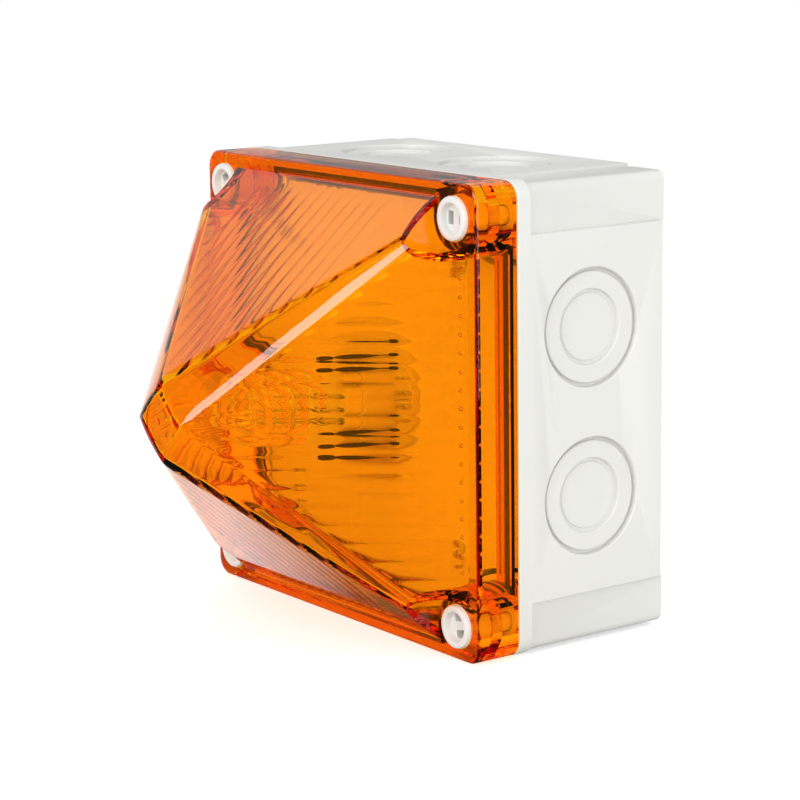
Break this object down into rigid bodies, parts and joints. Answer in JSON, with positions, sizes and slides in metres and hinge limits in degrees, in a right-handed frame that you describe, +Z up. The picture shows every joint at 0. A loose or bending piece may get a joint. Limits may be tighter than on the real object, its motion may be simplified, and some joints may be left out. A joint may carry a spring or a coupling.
{
  "type": "wall-mounted flashing warning beacon",
  "caption": "Square wall-mounted flashing beacon: amber pyramid lens cover on a light-grey junction box with cable knock-outs, flash tube and driver inside.",
  "frame": {"origin": "middle of the plane of the wall feet at the back of the box", "axes": "+Z up, +Y into the wall, -Y out through the lens, +X to the right seen from the front"},
  "size_m": [0.13, 0.1253, 0.13],
  "materials": {
    "box_grey": "fine satin moulding",
    "lens_amber": "clear amber, polished",
    "screw_white": "smooth moulded",
    "seal_dark": "foam rubber",
    "tray_white": "smooth moulded",
    "steel_zinc": "zinc plated",
    "board_green": "solder resist",
    "socket_cream": "moulded nylon",
    "tube_glass": "clear",
    "base_ceramic": "fired, unglazed",
    "lead_red": "insulation",
    "capacitor_blue": "shrink sleeve",
    "ferrite": "ground ferrite",
    "winding_copper": "taped winding",
    "coil_yellow": "dipped",
    "film_red": "dipped",
    "sink_aluminium": "plain",
    "package_black": "moulded epoxy",
    "resistor_tan": "lacquered",
    "terminal_green": "moulded"
  },
  "bodies": {
    "box": {"back_box": "box_grey", "lid_gasket": "seal_dark", "light_tray": "tray_white", "tray_screws": "steel_zinc", "tray_pillars": "steel_zinc", "driver_board": "board_green", "tube_socket": "socket_cream", "socket_screws": "steel_zinc", "tube_leads": "lead_red", "tube_base": "base_ceramic", "flash_tube": "tube_glass", "trigger_wire": "steel_zinc", "storage_capacitor": "capacitor_blue", "converter_core": "ferrite", "converter_winding": "winding_copper", "trigger_coil": "coil_yellow", "film_capacitor": "film_red", "power_transistor": "package_black", "heat_sink": "sink_aluminium", "heat_sink_screw": "steel_zinc", "rectifier_diodes": "package_black", "timing_resistors": "resistor_tan", "terminal_block": "terminal_green", "terminal_cages": "steel_zinc"},
    "cover": {"lens_cover": "lens_amber"},
    "lid_screw_tr_body": {"lid_screw_tr": "screw_white"},
    "lid_screw_tl_body": {"lid_screw_tl": "screw_white"},
    "lid_screw_br_body": {"lid_screw_br": "screw_white"},
    "lid_screw_bl_body": {"lid_screw_bl": "screw_white"},
    "clamp_screw_1": {"terminal_screw_1": "steel_zinc"},
    "clamp_screw_2": {"terminal_screw_2": "steel_zinc"},
    "clamp_screw_3": {"terminal_screw_3": "steel_zinc"},
    "clamp_screw_4": {"terminal_screw_4": "steel_zinc"}
  },
  "joints": [
    {"name": "cover_lift", "type": "slide", "parent": "box", "child": "cover", "axis": [0, -1, 0], "range_m": [0, 0.075]},
    {"name": "lid_screw_tr_turn", "type": "hinge", "parent": "cover", "child": "lid_screw_tr_body", "pos_m": [0.0555, -0.0674, 0.0555], "axis": [0, -1, 0], "range_deg": [0, 360]},
    {"name": "lid_screw_tl_turn", "type": "hinge", "parent": "cover", "child": "lid_screw_tl_body", "pos_m": [-0.0555, -0.0674, 0.0555], "axis": [0, -1, 0], "range_deg": [0, 360]},
    {"name": "lid_screw_br_turn", "type": "hinge", "parent": "cover", "child": "lid_screw_br_body", "pos_m": [0.0555, -0.0674, -0.0555], "axis": [0, -1, 0], "range_deg": [0, 360]},
    {"name": "lid_screw_bl_turn", "type": "hinge", "parent": "cover", "child": "lid_screw_bl_body", "pos_m": [-0.0555, -0.0674, -0.0555], "axis": [0, -1, 0], "range_deg": [0, 360]},
    {"name": "terminal_screw_1_turn", "type": "hinge", "parent": "box", "child": "clamp_screw_1", "pos_m": [-0.01125, -0.0278, -0.0395], "axis": [0, -1, 0], "range_deg": [0, 360]},
    {"name": "terminal_screw_2_turn", "type": "hinge", "parent": "box", "child": "clamp_screw_2", "pos_m": [-0.00375, -0.0278, -0.0395], "axis": [0, -1, 0], "range_deg": [0, 360]},
    {"name": "terminal_screw_3_turn", "type": "hinge", "parent": "box", "child": "clamp_screw_3", "pos_m": [0.00375, -0.0278, -0.0395], "axis": [0, -1, 0], "range_deg": [0, 360]},
    {"name": "terminal_screw_4_turn", "type": "hinge", "parent": "box", "child": "clamp_screw_4", "pos_m": [0.01125, -0.0278, -0.0395], "axis": [0, -1, 0], "range_deg": [0, 360]}
  ]
}
